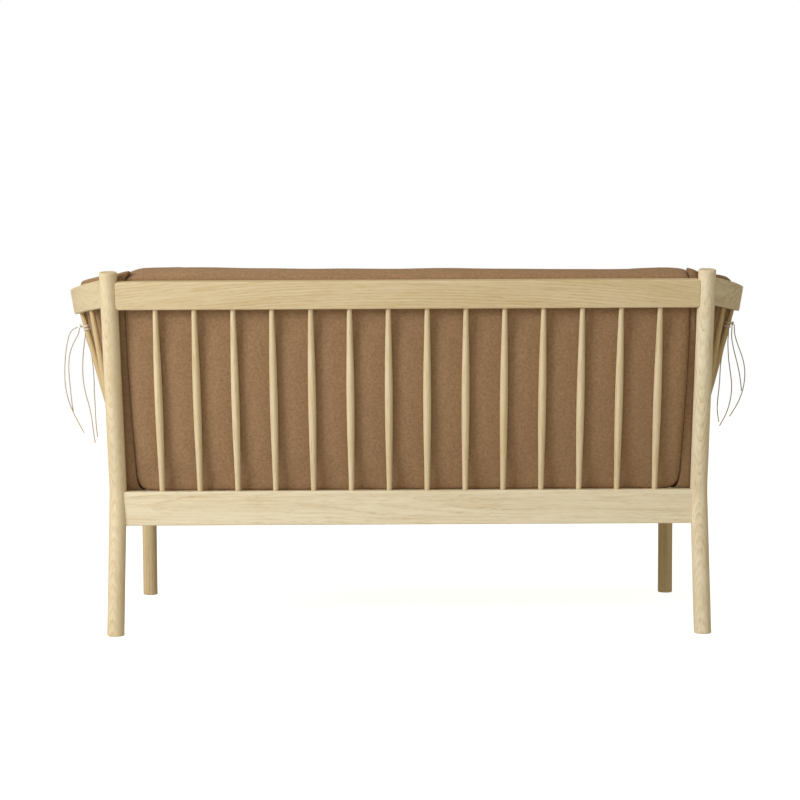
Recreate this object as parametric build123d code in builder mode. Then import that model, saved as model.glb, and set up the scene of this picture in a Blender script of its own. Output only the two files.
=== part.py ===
"""A spindle-back loveseat in pale oak, with loose cushions and side cushions tied on with leather laces.

Millimetres. The origin is on the floor, in the middle of the footprint. X points to the sitter's left,
Y to the back and Z up, so the seat opens towards -Y. Left and right are the sitter's.
"""

import math
import os

from build123d import *

os.makedirs("parts", exist_ok=True)

# Rear posts: round, kneed at seat height, raked back above the knee and kicked back below it
post_radius = 18.0
post_spread = 615.0
post_top_height = 757.5
knee_height = 300.0
back_rake = 13.0
rear_foot_kick = 36.0
knee_bend_radius = 110.0
end_grain_chamfer = 1.5

# Front legs: round, a little wider apart than the posts, with the feet leaning forward
leg_radius = 17.5
leg_spread = 639.0
leg_depth = 569.0
leg_lean = 3.5
leg_above_rail = 3.0

# Seat frame boards
rail_top = 299.5
rail_height = 72.0
rail_thickness = 25.0
rail_ease = 2.5
rail_corner_room = 1.0

# Crest rail between the tops of the posts
crest_height = 58.0
crest_thickness = 24.0
crest_drop = 47.5
crest_ease = 3.0
crest_corner_radius = 8.0

# Arm rails: boards that splay, lean out and curve a little in plan
arm_height = 58.0
arm_thickness = 22.0
arm_drop = 42.0
arm_end_spread = 757.0
arm_reach = 371.0
arm_sagitta = 8.0
arm_lean = 10.0
arm_corner_radius = 9.0
arm_ease = 3.0

# Mortise and tenon joints, measured from the axis of the post or leg
tenon_thickness = 10.0
tenon_shoulder = 9.0
tenon_stop = 7.5
tenon_root = 30.0
mortise_end_room = 0.5
glue_gap = 0.1

# Back spindles
back_spindle_count = 14
back_spindle_pitch = 80.2
back_spindle_radius = 8.35
back_spindle_foot_radius = 5.6
back_spindle_head_radius = 5.1
spindle_foot_depth = 18.0
spindle_head_depth = 20.0
spindle_swell_shares = ((0.13, 0.30), (0.30, 0.78), (0.50, 1.0), (0.70, 0.80), (0.87, 0.36))

# Arm spindles, two on each side
arm_spindle_radius = 8.2
arm_spindle_foot_radius = 5.6
arm_spindle_head_radius = 5.4
arm_spindle_head_shares = (0.475, 0.911)
arm_spindle_foot_shares = (0.214, 0.434)

# Seat deck: slats from front to back on screwed cleats, with a glued block in each corner
slat_count = 12
slat_side_room = 87.0
slat_width = 55.0
slat_thickness = 12.0
slat_end_room = 1.0
cleat_size = 20.0
cleat_end_room = 45.0
slats_per_cleat_screw = 2
block_side = 58.0
block_height = 28.0
block_rise = 6.0

# Countersunk wood screws
screw_head_radius = 3.6
screw_shank_radius = 1.8
screw_length = 26.0
screw_fit = 0.05
slat_screw_inset = 9.0

# Cushions
soft_gap = 0.3
back_cushion_half = 589.0
back_cushion_thickness = 106.0
back_cushion_drop = 13.5
back_cushion_rear_crown = 9.2
back_cushion_front_crown = 11.0
back_cushion_top_crown = 6.0
seat_cushion_half = 588.0
seat_cushion_thickness = 112.0
seat_cushion_overhang = 9.0
seat_cushion_crown = 12.0
seat_cushion_front_crown = 4.0
seat_cushion_rear_crown = 1.0
seat_cushion_room = 2.0
cushion_round = 20.0
cushion_base_round = 9.0
cushion_end_round = 22.0
cushion_end_thinning = 6.0
cushion_face_share = 0.5
cushion_end_crown_share = 0.4
cushion_middle_share = 0.5
cushion_end_angles = (90, 40, 0)
cushion_head_share = 0.4
side_cushion_above_arm = 16.3
side_cushion_arm_room = 2.0
side_cushion_foot_thickness = 25.0
side_cushion_head_thickness = 48.0
side_cushion_front_reach = 288.0
side_cushion_round_share = 0.4
cushion_bow_share = 0.04
# From rear to front, as shares: depth, rake, thickness at the foot, thickness of a squeezed head or
# none where the head follows the arm, and thickness at the head
side_cushion_stations = (
    (0.045, 1.0, 0.48, 0.48, 0.30),
    (0.12, 1.0, 0.78, 0.90, 0.60),
    (0.25, 0.90, 0.86, 0, 0.90),
    (0.55, 0.55, 0.94, 0, 1.0),
    (0.95, 0, 1.0, 0, 0.96),
    (1.0, 0, 0.78, 0, 0.66),
)

# Laces that tie the side cushions to the foremost arm spindles
lace_radius = 1.15
tie_drop_outer = 58.5
tie_drop_inner = 65.5
tie_swell_share = 0.3
knot_length = 12.0
knot_radius = 4.6
knot_end_radius = 2.4
knot_flat = 3.4
knot_reach = 14.0
knot_reach_right = 12.0
lace_first_run = 10.0
lace_arc_share = 0.45

# Shared overrun for cuts and for stock that is trimmed away
overrun = 30.0

# Places worked out from the sizes above
rake_tangent = math.tan(math.radians(back_rake))
rake_cosine = math.cos(math.radians(back_rake))
rake_sine = math.sin(math.radians(back_rake))
lean_tangent = math.tan(math.radians(leg_lean))
lean_cosine = math.cos(math.radians(leg_lean))
rear_reach = (
    (post_top_height - knee_height) * rake_tangent
    + post_radius * rake_cosine
    - end_grain_chamfer * rake_sine
)
front_reach = leg_depth + leg_radius / lean_cosine
knee_y = (front_reach - rear_reach) / 2
rail_middle = rail_top - rail_height / 2
crest_level = post_top_height - crest_drop
arm_level = post_top_height - arm_drop
tie_level_outer = arm_level - tie_drop_outer
tie_level_inner = arm_level - tie_drop_inner
up = Vector(0, 0, 1)
rake_up = Vector(0, rake_sine, rake_cosine)
rake_forward = Vector(0, -rake_cosine, rake_sine)
rail_tenon_height = rail_height - 2 * tenon_shoulder
crest_tenon_height = crest_height - 2 * tenon_shoulder
arm_tenon_height = arm_height - 2 * tenon_shoulder


def post_axis(side, height):
    """The point of a rear post's axis at a height, with the knee taken as a sharp corner."""
    if height >= knee_height:
        return Vector(side * post_spread, knee_y + (height - knee_height) * rake_tangent, height)
    kick = rear_foot_kick * (knee_height - height) / knee_height
    return Vector(side * post_spread, knee_y + kick, height)


def leg_axis(side, height):
    """The point of a front leg's axis at a height."""
    return Vector(side * leg_spread, knee_y - leg_depth + height * lean_tangent, height)


def board_frame(start, end):
    """A plane at start with its x along the board, its y up and its z through the thickness."""
    along = (end - start).normalized()
    return Plane(origin=start, x_dir=along, z_dir=along.cross(up))


def tenon_form(joint, height, room=0.0, end_room=0.0):
    """A round-ended tenon that leaves a post along the joint plane's z, its height along x."""
    with BuildPart() as tenon:
        with BuildSketch(joint.offset(tenon_stop - end_room)):
            SlotOverall(height + 2 * room, tenon_thickness + 2 * room)
        extrude(amount=tenon_root - tenon_stop + end_room)
    return tenon.part


def mortise_form(joint, height):
    """The tenon's pocket, with room for glue."""
    return tenon_form(joint, height, glue_gap, mortise_end_room)


# Each joint plane lies on a post's or leg's axis and looks along its tenon
def rear_rail_joint(side):
    return Plane(origin=(side * post_spread, knee_y, rail_middle), x_dir=up, z_dir=(-side, 0, 0))


def crest_joint(side):
    return Plane(origin=post_axis(side, crest_level), x_dir=rake_up, z_dir=(-side, 0, 0))


def side_rail_joint(side, at_leg):
    rear = post_axis(side, rail_middle)
    front = leg_axis(side, rail_middle)
    if at_leg:
        return Plane(origin=front, x_dir=up, z_dir=(rear - front).normalized())
    return Plane(origin=rear, x_dir=up, z_dir=(front - rear).normalized())


def front_rail_joint(side):
    return Plane(origin=leg_axis(side, rail_middle), x_dir=up, z_dir=(-side, 0, 0))


def arm_centreline(side):
    """The arm's plan curve at arm level, from the post's axis to the free front end."""
    start = post_axis(side, arm_level)
    end = Vector(side * arm_end_spread, start.Y - arm_reach, arm_level)
    chord = (end - start).normalized()
    outward = Vector(-chord.Y * side, chord.X * side, 0)
    middle = (start + end) / 2 + outward * arm_sagitta
    return Edge.make_three_point_arc(start, middle, end)


def arm_joint(side):
    line = arm_centreline(side)
    return Plane(origin=line @ 0, x_dir=up, z_dir=line % 0)


def rear_post_form(side, radius):
    """The kneed round stock of a rear post, cut level at the floor and square at the top."""
    top = post_axis(side, post_top_height)
    foot_slope = rear_foot_kick / knee_height
    with BuildPart() as form:
        with BuildLine(Plane.YZ.offset(side * post_spread)) as route:
            FilletPolyline(
                (knee_y + rear_foot_kick + overrun * foot_slope, -overrun),
                (knee_y, knee_height),
                (top.Y, top.Z),
                radius=knee_bend_radius,
            )
        with BuildSketch(Plane(origin=route.line @ 0, z_dir=route.line % 0)):
            Circle(radius)
        sweep(path=route.line)
        split(bisect_by=Plane.XY, keep=Keep.TOP)
    return form.part


def front_leg_form(side, radius):
    """The straight round stock of a front leg, cut level at the floor and square at the top."""
    start = leg_axis(side, -overrun)
    top = leg_axis(side, rail_top + leg_above_rail)
    with BuildPart() as form:
        with BuildSketch(Plane(origin=start, z_dir=(top - start).normalized())):
            Circle(radius)
        extrude(amount=(top - start).length)
        split(bisect_by=Plane.XY, keep=Keep.TOP)
    return form.part


def board_form(frame, length, height, thickness, ease):
    """A board along the frame's x, centred on its height and thickness, with eased long edges."""
    with BuildPart() as board:
        with BuildSketch(frame):
            with Locations((length / 2, 0)):
                Rectangle(length, height)
        extrude(amount=thickness / 2, both=True)
        fillet(board.edges().filter_by(Axis(frame.origin, frame.x_dir)), ease)
    return board.part


def spindle_form(foot, head, radii, foot_depth, head_depth):
    """A turned spindle: its foot and head fill their holes, and it swells between the two mouths."""
    foot_radius, swell_radius, head_radius = radii
    along = (head - foot).normalized()
    across = along.cross(Vector(0, 1, 0)).normalized()
    length = (head - foot).length
    mouth = length - head_depth
    clear = mouth - foot_depth
    swell = []
    for place_share, swell_share in spindle_swell_shares:
        end_radius = foot_radius if place_share < 0.5 else head_radius
        radius = end_radius + (swell_radius - end_radius) * swell_share
        swell.append((radius, foot_depth + clear * place_share))
    with BuildPart() as spindle:
        with BuildSketch(Plane(origin=foot, x_dir=across, z_dir=across.cross(along))):
            with BuildLine():
                Polyline((foot_radius, foot_depth), (foot_radius, 0), (0, 0), (0, length))
                Polyline((0, length), (head_radius, length), (head_radius, mouth))
                Spline((foot_radius, foot_depth), *swell, (head_radius, mouth))
            make_face()
        revolve(axis=Axis(foot, along))
    return spindle.part


def hole_form(start, end, radius):
    """A drilled hole from start to end, a glue gap wider than its spindle and deeper by the same."""
    along = (end - start).normalized()
    with BuildPart() as hole:
        with BuildSketch(Plane(origin=start - along * glue_gap, z_dir=along)):
            Circle(radius + glue_gap)
        extrude(amount=(end - start).length + glue_gap)
    return hole.part


def write(name, part):
    part.label = name
    export_step(part, f"parts/{name}.step")


# Rear posts
def make_rear_post(side, name):
    with BuildPart() as post:
        add(rear_post_form(side, post_radius))
        chamfer(post.faces().sort_by(Axis.Z)[0].edges(), end_grain_chamfer)
        chamfer(post.faces().sort_by(Axis.Z)[-1].edges(), end_grain_chamfer)
        add(mortise_form(rear_rail_joint(side), rail_tenon_height), mode=Mode.SUBTRACT)
        add(mortise_form(side_rail_joint(side, False), rail_tenon_height), mode=Mode.SUBTRACT)
        add(mortise_form(crest_joint(side), crest_tenon_height), mode=Mode.SUBTRACT)
        add(mortise_form(arm_joint(side), arm_tenon_height), mode=Mode.SUBTRACT)
    write(name, post.part)


# Front legs
def make_front_leg(side, name):
    with BuildPart() as leg:
        add(front_leg_form(side, leg_radius))
        chamfer(leg.faces().sort_by(Axis.Z)[0].edges(), end_grain_chamfer)
        chamfer(leg.faces().sort_by(Axis.Z)[-1].edges(), end_grain_chamfer)
        add(mortise_form(front_rail_joint(side), rail_tenon_height), mode=Mode.SUBTRACT)
        add(mortise_form(side_rail_joint(side, True), rail_tenon_height), mode=Mode.SUBTRACT)
    write(name, leg.part)


# Back spindles: their axes lie in the plane of the raked posts
def back_spindle_ends(index):
    x = (index - (back_spindle_count - 1) / 2) * back_spindle_pitch
    crest_underside = post_axis(1, crest_level) - rake_up * (crest_height / 2)
    rail_surface = post_axis(1, knee_height) - rake_up * ((knee_height - rail_top) / rake_cosine)
    foot = rail_surface - rake_up * spindle_foot_depth
    head = crest_underside + rake_up * spindle_head_depth
    return Vector(x, foot.Y, foot.Z), Vector(x, head.Y, head.Z)


def make_back_spindle(index, name):
    foot, head = back_spindle_ends(index)
    radii = (back_spindle_foot_radius, back_spindle_radius, back_spindle_head_radius)
    write(name, spindle_form(foot, head, radii, spindle_foot_depth, spindle_head_depth))


# Rear seat rail
def make_rear_rail(name):
    half = post_spread - rail_thickness / 2 - rail_corner_room
    frame = board_frame(Vector(-half, knee_y, rail_middle), Vector(half, knee_y, rail_middle))
    with BuildPart() as rail:
        add(board_form(frame, 2 * half, rail_height, rail_thickness, rail_ease))
        for side in (-1, 1):
            add(rear_post_form(side, post_radius + glue_gap), mode=Mode.SUBTRACT)
        keep = rail.solids().sort_by(SortBy.VOLUME)[-1]
    with BuildPart() as finished:
        add(keep)
        for side in (-1, 1):
            add(tenon_form(rear_rail_joint(side), rail_tenon_height))
        for index in range(back_spindle_count):
            foot, head = back_spindle_ends(index)
            mouth = foot + rake_up * (2 * spindle_foot_depth)
            add(hole_form(foot, mouth, back_spindle_foot_radius), mode=Mode.SUBTRACT)
        for place in cleat_screw_places():
            add(screw_form(rear_cleat_screw(place), screw_fit), mode=Mode.SUBTRACT)
    write(name, finished.part)


# Crest rail
def make_crest_rail(name):
    start = post_axis(-1, crest_level)
    end = post_axis(1, crest_level)
    face = Plane(origin=(start + end) / 2, x_dir=(1, 0, 0), z_dir=-rake_forward)
    shoulder = math.sqrt(post_radius**2 - (crest_thickness / 2) ** 2)
    length = 2 * (post_spread - shoulder)
    with BuildPart() as board:
        with BuildSketch(face):
            Rectangle(length, crest_height)
            fillet(vertices(), crest_corner_radius)
        extrude(amount=crest_thickness / 2, both=True)
        fillet(board.faces().filter_by(Axis(face.origin, face.z_dir)).edges(), crest_ease)
        for side in (-1, 1):
            add(rear_post_form(side, post_radius + glue_gap), mode=Mode.SUBTRACT)
        keep = board.solids().sort_by(SortBy.VOLUME)[-1]
    with BuildPart() as finished:
        add(keep)
        for side in (-1, 1):
            add(tenon_form(crest_joint(side), crest_tenon_height))
        for index in range(back_spindle_count):
            foot, head = back_spindle_ends(index)
            mouth = head - rake_up * (2 * spindle_head_depth)
            add(hole_form(head, mouth, back_spindle_head_radius), mode=Mode.SUBTRACT)
    write(name, finished.part)


# Side seat rails
def make_side_rail(side, name):
    rear = post_axis(side, rail_middle)
    front = leg_axis(side, rail_middle)
    frame = board_frame(rear, front)
    with BuildPart() as board:
        add(board_form(frame, (front - rear).length, rail_height, rail_thickness, rail_ease))
        add(rear_post_form(side, post_radius + glue_gap), mode=Mode.SUBTRACT)
        add(front_leg_form(side, leg_radius + glue_gap), mode=Mode.SUBTRACT)
        keep = board.solids().sort_by(SortBy.VOLUME)[-1]
    with BuildPart() as finished:
        add(keep)
        for at_leg in (False, True):
            add(tenon_form(side_rail_joint(side, at_leg), rail_tenon_height))
        for index in range(len(arm_spindle_foot_shares)):
            foot, head = arm_spindle_ends(side, index)
            mouth = foot + (head - foot).normalized() * (2 * spindle_foot_depth)
            add(hole_form(foot, mouth, arm_spindle_foot_radius), mode=Mode.SUBTRACT)
    write(name, finished.part)


# Front seat rail
def make_front_rail(name):
    half = leg_spread - rail_thickness / 2 - rail_corner_room
    rail_y = leg_axis(1, rail_middle).Y
    frame = board_frame(Vector(-half, rail_y, rail_middle), Vector(half, rail_y, rail_middle))
    with BuildPart() as board:
        add(board_form(frame, 2 * half, rail_height, rail_thickness, rail_ease))
        for side in (-1, 1):
            add(front_leg_form(side, leg_radius + glue_gap), mode=Mode.SUBTRACT)
        keep = board.solids().sort_by(SortBy.VOLUME)[-1]
    with BuildPart() as finished:
        add(keep)
        for side in (-1, 1):
            add(tenon_form(front_rail_joint(side), rail_tenon_height))
        for place in cleat_screw_places():
            add(screw_form(front_cleat_screw(place), screw_fit), mode=Mode.SUBTRACT)
    write(name, finished.part)


# Arm rails and their spindles
def arm_spindle_ends(side, index):
    head_target = arm_centreline(side) @ arm_spindle_head_shares[index]
    rear = post_axis(side, rail_top)
    front = leg_axis(side, rail_top)
    mouth = rear + (front - rear) * arm_spindle_foot_shares[index]
    mouth = Vector(mouth.X, mouth.Y, rail_top)
    along = (head_target - mouth).normalized()
    half_height = arm_height / 2 - spindle_head_depth
    return mouth - along * spindle_foot_depth, head_target - along * half_height


def make_arm_spindle(side, index, name):
    foot, head = arm_spindle_ends(side, index)
    radii = (arm_spindle_foot_radius, arm_spindle_radius, arm_spindle_head_radius)
    write(name, spindle_form(foot, head, radii, spindle_foot_depth, spindle_head_depth))


def make_arm_rail(side, name):
    line = arm_centreline(side)
    across = (line % 0).cross(up) * side
    section = Plane(origin=line @ 0, x_dir=across, z_dir=line % 0)
    lean_turn = arm_lean * (1 if section.y_dir.Z > 0 else -1)
    with BuildPart() as board:
        with BuildSketch(section):
            Rectangle(arm_thickness, arm_height, rotation=lean_turn)
        sweep(path=line)
        end_face = board.faces().sort_by(Axis.Y)[0]
        fillet(end_face.edges().sort_by(SortBy.LENGTH)[:2], arm_corner_radius)
        post_face = board.faces().sort_by(Axis.Y)[-1]
        square_edges = post_face.edges()
        long_edges = [edge for edge in board.edges() if edge not in square_edges and edge.length > arm_ease]
        fillet(long_edges, arm_ease)
        add(rear_post_form(side, post_radius + glue_gap), mode=Mode.SUBTRACT)
        keep = board.solids().sort_by(SortBy.VOLUME)[-1]
    with BuildPart() as finished:
        add(keep)
        add(tenon_form(arm_joint(side), arm_tenon_height))
        for index in range(len(arm_spindle_head_shares)):
            foot, head = arm_spindle_ends(side, index)
            mouth = head - (head - foot).normalized() * (2 * spindle_head_depth)
            add(hole_form(head, mouth, arm_spindle_head_radius), mode=Mode.SUBTRACT)
    write(name, finished.part)


# Screws, cleats, slats and corner blocks
def screw_form(place, room=0.0):
    """A countersunk screw whose head lies at the place's origin and whose shank runs along -z."""
    head = screw_head_radius + room
    shank = screw_shank_radius + room
    neck = screw_head_radius - screw_shank_radius
    tip = -screw_length - room
    section = Plane(origin=place.origin, x_dir=place.x_dir, z_dir=place.x_dir.cross(place.z_dir))
    with BuildPart() as screw:
        with BuildSketch(section):
            with BuildLine():
                Polyline((0, 0), (head, 0), (shank, -neck), (shank, tip), (0, tip), close=True)
            make_face()
        revolve(axis=Axis(place.origin, place.z_dir))
    return screw.part


rear_cleat_y = knee_y - rail_thickness / 2 - cleat_size / 2
front_cleat_y = leg_axis(1, rail_middle).Y + rail_thickness / 2 + cleat_size / 2
cleat_level = rail_top - slat_thickness - cleat_size / 2
cleat_length = 2 * (post_spread - cleat_end_room)
slat_length = rear_cleat_y - front_cleat_y + cleat_size - 2 * slat_end_room
slat_pitch = 2 * (post_spread - slat_side_room) / (slat_count - 1)


def slat_places():
    return [(index - (slat_count - 1) / 2) * slat_pitch for index in range(slat_count)]


def cleat_screw_places():
    step = slats_per_cleat_screw * slat_pitch
    count = slat_count // slats_per_cleat_screw
    return [(index - (count - 1) / 2) * step for index in range(count)]


def rear_cleat_screw(x):
    return Plane(origin=(x, rear_cleat_y - cleat_size / 2, cleat_level), x_dir=(1, 0, 0), z_dir=(0, -1, 0))


def front_cleat_screw(x):
    return Plane(origin=(x, front_cleat_y + cleat_size / 2, cleat_level), x_dir=(1, 0, 0), z_dir=(0, 1, 0))


def slat_screw_planes():
    ends = (rear_cleat_y + cleat_size / 2 - slat_end_room, front_cleat_y - cleat_size / 2 + slat_end_room)
    rows = (ends[0] - slat_screw_inset, ends[1] + slat_screw_inset)
    return [Plane(origin=(x, y, rail_top)) for x in slat_places() for y in rows]


def make_cleat(y, screw_place, name):
    with BuildPart() as cleat:
        with Locations((0, y, cleat_level)):
            Box(cleat_length, cleat_size, cleat_size)
        for x in cleat_screw_places():
            add(screw_form(screw_place(x), screw_fit), mode=Mode.SUBTRACT)
        for place in slat_screw_planes():
            add(screw_form(place, screw_fit), mode=Mode.SUBTRACT)
    write(name, cleat.part)


def make_slats(name):
    middle = (rear_cleat_y + front_cleat_y) / 2
    with BuildPart() as slats:
        with Locations([(x, middle, rail_top - slat_thickness / 2) for x in slat_places()]):
            Box(slat_width, slat_length, slat_thickness)
        for place in slat_screw_planes():
            add(screw_form(place, screw_fit), mode=Mode.SUBTRACT)
    write(name, slats.part)


def make_slat_screws(name):
    with BuildPart() as screws:
        for place in slat_screw_planes():
            add(screw_form(place))
    write(name, screws.part)


def make_cleat_screws(name):
    with BuildPart() as screws:
        for x in cleat_screw_places():
            add(screw_form(rear_cleat_screw(x)))
            add(screw_form(front_cleat_screw(x)))
    write(name, screws.part)


def make_corner_block(side, at_leg, name):
    """A three-cornered glue block in the angle of two rails, hollowed to clear the post or leg."""
    joint = side_rail_joint(side, at_leg)
    inner = Vector(-side, 0, 0)
    forward = joint.z_dir
    rail_y = front_cleat_y - cleat_size / 2 if at_leg else rear_cleat_y + cleat_size / 2
    to_face = rail_thickness / 2 / abs(forward.Y)
    reach = (rail_y - joint.origin.Y) / forward.Y
    corner = joint.origin + forward * reach + inner * to_face
    level = rail_top - rail_height + block_rise
    with BuildPart() as block:
        with BuildSketch(Plane.XY.offset(level)):
            with BuildLine():
                Polyline(
                    (corner.X, corner.Y),
                    (corner.X - side * block_side, corner.Y),
                    (corner.X + forward.X * block_side, corner.Y + forward.Y * block_side),
                    close=True,
                )
            make_face()
        extrude(amount=block_height)
        if at_leg:
            add(front_leg_form(side, leg_radius + glue_gap), mode=Mode.SUBTRACT)
        else:
            add(rear_post_form(side, post_radius + glue_gap), mode=Mode.SUBTRACT)
    write(name, block.part)


# Cushions: each is a loft through outlines of four shallow arcs joined by round corners
def soft_outline(corners, bulges, rounds):
    """Closed outline through four corners: side i starts at corner i and bows out by bulges[i]."""
    centre = sum(corners, Vector(0, 0)) / len(corners)
    arc_middle_share = 1 - math.sqrt(0.5)
    for index, corner in enumerate(corners):
        after = corners[(index + 1) % len(corners)]
        before = corners[index - 1]
        to_after = (after - corner).normalized()
        to_before = (before - corner).normalized()
        side_start = corner + to_after * rounds[index]
        side_end = after - to_after * rounds[(index + 1) % len(corners)]
        middle = (side_start + side_end) / 2
        outward = Vector(to_after.Y, -to_after.X)
        if (middle - centre).dot(outward) < 0:
            outward = -outward
        if bulges[index]:
            ThreePointArc(side_start, middle + outward * bulges[index], side_end)
        else:
            Line(side_start, side_end)
        corner_start = corner + to_before * rounds[index]
        corner_middle = corner + (to_before + to_after) * rounds[index] * arc_middle_share
        ThreePointArc(corner_start, corner_middle, side_start)


def soft_loft(stations):
    """A cushion lofted through (plane, corners, bulges, rounds) stations."""
    with BuildPart() as cushion:
        for plane, corners, bulges, rounds in stations:
            with BuildSketch(plane):
                with BuildLine():
                    soft_outline(corners, bulges, rounds)
                make_face()
        loft(ruled=True)
    return cushion.part


def cushion_steps(half):
    """Stations along a cushion from one end to the other, as (place, draw-in, share of the crown)."""
    steps = []
    for angle in cushion_end_angles:
        turn = math.radians(angle)
        place = half - cushion_end_round * (1 - math.sin(turn))
        inset = cushion_end_round * (1 - math.cos(turn))
        steps.append((place, inset))
    steps.append((half * cushion_middle_share, 0))
    both_ways = steps + [(0, 0)] + [(-place, inset) for place, inset in reversed(steps)]
    return [(place, inset, crown_share(place, half)) for place, inset in both_ways]


def crown_share(place, half):
    """Share of the full crown at a place along a cushion: all of it in the middle, less at the ends."""
    return 1 - (1 - cushion_end_crown_share) * (place / half) ** 2


back_cushion_rear = back_spindle_radius + soft_gap + back_cushion_rear_crown
back_cushion_front = back_cushion_rear + back_cushion_thickness
back_cushion_rise = (post_top_height - knee_height) / rake_cosine - back_cushion_drop
cushion_rounds = [cushion_base_round, cushion_base_round, cushion_round, cushion_round]


def make_back_cushion(name):
    """The long back cushion: it stands on the deck and leans on the spindles and the crest rail."""
    deck = rail_top + soft_gap
    base = post_axis(1, knee_height)
    stations = []
    for place, inset, crown in cushion_steps(back_cushion_half):
        near = back_cushion_rear + inset * cushion_face_share
        far = back_cushion_front - inset * cushion_face_share - cushion_end_thinning * (1 - crown)
        level = deck + inset - knee_height
        head = back_cushion_rise - inset * cushion_head_share
        corners = [
            Vector(near, (level - near * rake_sine) / rake_cosine),
            Vector(far, (level - far * rake_sine) / rake_cosine),
            Vector(far, head),
            Vector(near, head),
        ]
        front_bulge = back_cushion_front_crown * crown
        bulges = [0, front_bulge, back_cushion_top_crown, back_cushion_rear_crown]
        plane = Plane(origin=(place, base.Y, base.Z), x_dir=rake_forward, z_dir=(-1, 0, 0))
        stations.append((plane, corners, bulges, cushion_rounds))
    write(name, soft_loft(stations))


def make_seat_cushion(name):
    """The seat cushion: on the slats, from the foot of the back cushion to just past the front rail."""
    rear = knee_y - back_cushion_front / rake_cosine - seat_cushion_room
    front = leg_axis(1, rail_middle).Y - rail_thickness / 2 - seat_cushion_overhang
    deck = rail_top + soft_gap
    stations = []
    for place, inset, crown in cushion_steps(seat_cushion_half):
        draw = inset * cushion_face_share
        top = deck + seat_cushion_thickness - draw
        corners = [
            Vector(rear - draw, deck + draw),
            Vector(front + draw, deck + draw),
            Vector(front + draw, top),
            Vector(rear - draw, top),
        ]
        bulges = [0, seat_cushion_front_crown * crown, seat_cushion_crown * crown, seat_cushion_rear_crown]
        stations.append((Plane.YZ.offset(place), corners, bulges, cushion_rounds))
    write(name, soft_loft(stations))


def arm_inner_face(y):
    """How far from the middle the arm's inner face stands at its top edge, at a depth."""
    line = arm_centreline(1)
    share = min(max(((line @ 0).Y - y) / arm_reach, 0), 1)
    way = line % share
    turn = math.radians(arm_lean)
    inboard = arm_thickness / 2 * math.cos(turn) - arm_height / 2 * math.sin(turn)
    return (line @ share).X - inboard / abs(way.Y)


def make_side_cushion(side, name):
    """A wedge-shaped pad that follows the splayed, leaning arm from beside the post to its front end."""
    deck = rail_top + soft_gap
    inner_foot = back_cushion_half + 2 * soft_gap
    arm_top = arm_level + arm_height / 2
    height = arm_top + side_cushion_above_arm - deck
    stations = []
    for depth_share, rake_share, foot_share, squeeze_share, head_share in side_cushion_stations:
        depth = side_cushion_front_reach * depth_share
        turn = math.radians(back_rake * rake_share)
        rise_way = Vector(0, math.sin(turn), math.cos(turn))
        origin = Vector(0, knee_y - depth, deck)
        plane = Plane(origin=origin, x_dir=(1, 0, 0), z_dir=Vector(1, 0, 0).cross(rise_way))
        rise = height / math.cos(turn)
        outer_foot = inner_foot + side_cushion_foot_thickness * foot_share
        if squeeze_share:
            outer_head = inner_foot + side_cushion_foot_thickness * squeeze_share
        else:
            arm_face = arm_inner_face(origin.Y + (arm_top - deck) * math.tan(turn)) - side_cushion_arm_room
            outer_head = outer_foot + (arm_face - outer_foot) * height / (arm_top - deck)
        inner_head = max(outer_head - side_cushion_head_thickness * head_share, inner_foot)
        corners = [
            Vector(side * inner_foot, 0),
            Vector(side * outer_foot, 0),
            Vector(side * outer_head, rise),
            Vector(side * inner_head, rise),
        ]
        thin = min(outer_foot - inner_foot, outer_head - inner_head)
        bulges = [0, 0, thin * cushion_bow_share, 0]
        stations.append((plane, corners, bulges, [thin * side_cushion_round_share] * len(corners)))
    write(name, soft_loft(stations))


# Ties: a ring of lace round the foremost arm spindle with its knot
def spindle_point(side, level):
    """The foremost arm spindle's axis at a level, and the way it runs."""
    foot, head = arm_spindle_ends(side, len(arm_spindle_head_shares) - 1)
    along = (head - foot).normalized()
    return foot + along * ((level - foot.Z) / along.Z), along


def knot_place(side, tie):
    """A plane at the knot's middle whose z runs outward through the knot, away from the spindle."""
    level, bearing, drop, reach = tie
    centre, along = spindle_point(side, level)
    turn = math.radians(bearing)
    level_way = Vector(side * math.cos(turn), math.sin(turn), 0)
    outward = (level_way - up * drop).normalized()
    return Plane(origin=centre + level_way * reach, z_dir=outward, x_dir=outward.cross(up))


def make_tie(side, tie, name):
    centre, along = spindle_point(side, tie[0])
    swell = (arm_spindle_radius - arm_spindle_head_radius) * tie_swell_share
    ring_inside = arm_spindle_head_radius + swell + soft_gap
    ring_outside = ring_inside + 2 * lace_radius
    place = knot_place(side, tie)
    section = Plane(origin=place.origin, x_dir=place.x_dir, z_dir=place.x_dir.cross(place.z_dir))
    tip = knot_length / 2
    with BuildPart() as tie_part:
        with BuildSketch(section):
            with BuildLine():
                Polyline((knot_end_radius, tip), (0, tip), (0, -tip), (knot_end_radius, -tip))
                ThreePointArc((knot_end_radius, -tip), (knot_radius, 0), (knot_end_radius, tip))
            make_face()
        revolve(axis=Axis(place.origin, place.z_dir))
        split(bisect_by=Plane.XY.offset(place.origin.Z - knot_flat), keep=Keep.TOP)
        with BuildSketch(Plane(origin=centre, z_dir=along)):
            Circle(ring_outside)
        extrude(amount=lace_radius, both=True)
        with BuildSketch(Plane(origin=centre, z_dir=along)):
            Circle(ring_inside)
        extrude(amount=overrun, both=True, mode=Mode.SUBTRACT)
    write(name, tie_part.part)


# Level, bearing from outward towards the back in degrees, droop of the knot and reach from the spindle
ties = {
    "tie_left_outer": (tie_level_outer, 25, 0.4, knot_reach),
    "tie_left_inner": (tie_level_inner, -65, 0, knot_reach),
    "tie_right_outer": (tie_level_outer, 25, 0, knot_reach_right),
    "tie_right_inner": (tie_level_inner, -65, 0, knot_reach),
}

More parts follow.
